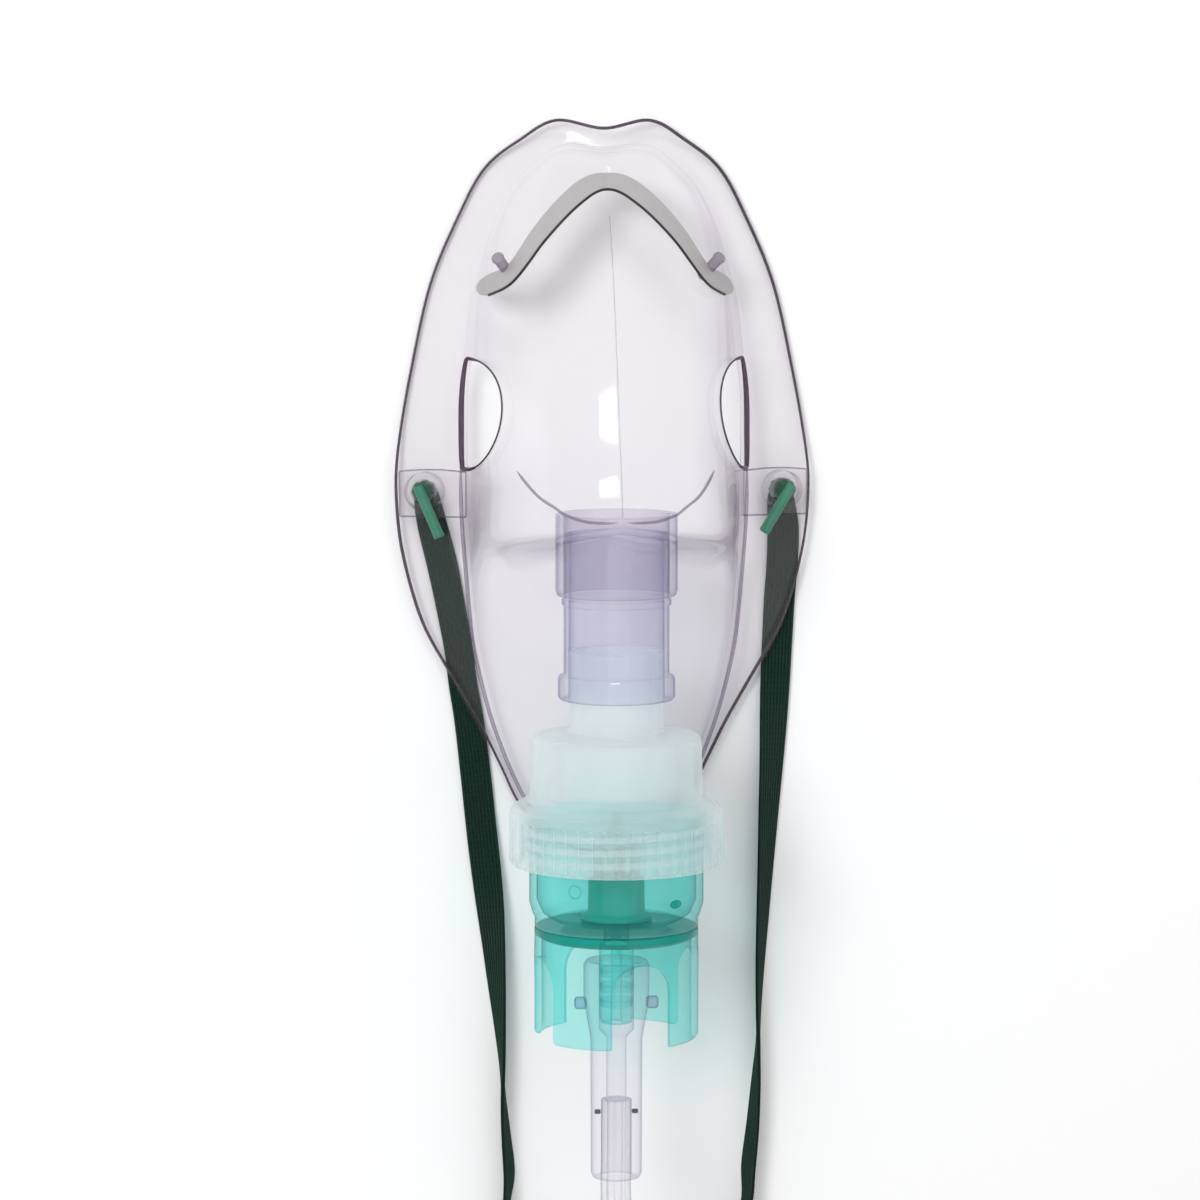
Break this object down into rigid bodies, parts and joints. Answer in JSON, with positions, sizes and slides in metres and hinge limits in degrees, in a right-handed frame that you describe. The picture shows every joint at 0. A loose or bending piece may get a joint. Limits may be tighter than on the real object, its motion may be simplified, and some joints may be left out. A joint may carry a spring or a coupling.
{
  "type": "aerosol face mask with jet nebuliser",
  "caption": "Clear elongated face mask with side vents, nose clip and elastic strap, a swivelling adapter, a screw-apart jet nebuliser and a coiled oxygen tube.",
  "frame": {"origin": "middle of the base, on the surface that the mask's rim and the strap rest on, centred between the nose and the back of the strap's loop", "axes": "+X to the wearer's left, +Y towards the nose, +Z from the wearer's face outwards, over the dome"},
  "size_m": [0.0896, 0.3841, 0.0604],
  "materials": {
    "clear_vinyl": "clear gloss",
    "violet_vinyl": "clear gloss, violet grey",
    "clip_metal": "satin",
    "strap_elastic": "ribbed elastic",
    "toggle_plastic": "satin",
    "milky_plastic": "milky translucent",
    "insert_plastic": "satin",
    "teal_clear": "clear gloss teal",
    "connector_vinyl": "clear gloss",
    "tube_vinyl": "clear gloss"
  },
  "bodies": {
    "mask": {"mask_shell": "clear_vinyl", "port_socket": "violet_vinyl", "left_strap_tab": "clear_vinyl", "right_strap_tab": "clear_vinyl", "nose_clip": "clip_metal", "clip_studs": "clear_vinyl"},
    "strap": {"elastic_strap": "strap_elastic"},
    "left_toggle": {"left_strap_toggle": "toggle_plastic"},
    "right_toggle": {"right_strap_toggle": "toggle_plastic"},
    "cap": {"port_adapter": "violet_vinyl", "nebulizer_cap": "milky_plastic", "cap_thread": "milky_plastic", "cap_baffle_ring": "milky_plastic"},
    "insert": {"jet_insert": "insert_plastic", "insert_baffle": "insert_plastic"},
    "jar": {"nebulizer_jar": "teal_clear", "jar_thread": "teal_clear", "jar_skirt": "teal_clear", "jar_nozzle": "teal_clear"},
    "tube": {"tube_connector": "connector_vinyl", "connector_lugs": "connector_vinyl", "oxygen_tube_run": "tube_vinyl", "oxygen_tube_coil": "tube_vinyl", "far_connector": "connector_vinyl"}
  },
  "joints": [
    {"name": "nebulizer_swivel", "type": "hinge", "parent": "mask", "child": "cap", "pos_m": [0, 0, 0.038], "axis": [0, -1, 0], "continuous": true},
    {"name": "jar_drop", "type": "slide", "parent": "cap", "child": "insert", "axis": [0, -1, 0], "range_m": [0, 0.0081]},
    {"name": "jar_unscrew", "type": "hinge", "parent": "insert", "child": "jar", "pos_m": [0, 0, 0.038], "axis": [0, -1, 0], "range_deg": [0, 1080]},
    {"name": "tube_slide", "type": "slide", "parent": "mask", "child": "tube", "axis": [0, -1, 0], "range_m": [0, 0.0081]},
    {"name": "strap_swing", "type": "hinge", "parent": "mask", "child": "strap", "pos_m": [0, 0.0504, 0.0014], "axis": [1, 0, 0], "range_deg": [0, 90]},
    {"name": "left_toggle_swivel", "type": "hinge", "parent": "mask", "child": "left_toggle", "pos_m": [0.0384, 0.0506, 0.0043], "axis": [0.2588, 0, 0.9659], "range_deg": [-30, 75]},
    {"name": "right_toggle_swivel", "type": "hinge", "parent": "mask", "child": "right_toggle", "pos_m": [-0.0384, 0.0506, 0.0043], "axis": [-0.2588, 0, 0.9659], "range_deg": [-75, 35]}
  ],
  "couplings": [
    {"joint": "jar_drop", "follows": "tube_slide", "ratio": 1},
    {"joint": "jar_unscrew", "follows": "tube_slide", "rad_per_m": 2327.1}
  ]
}
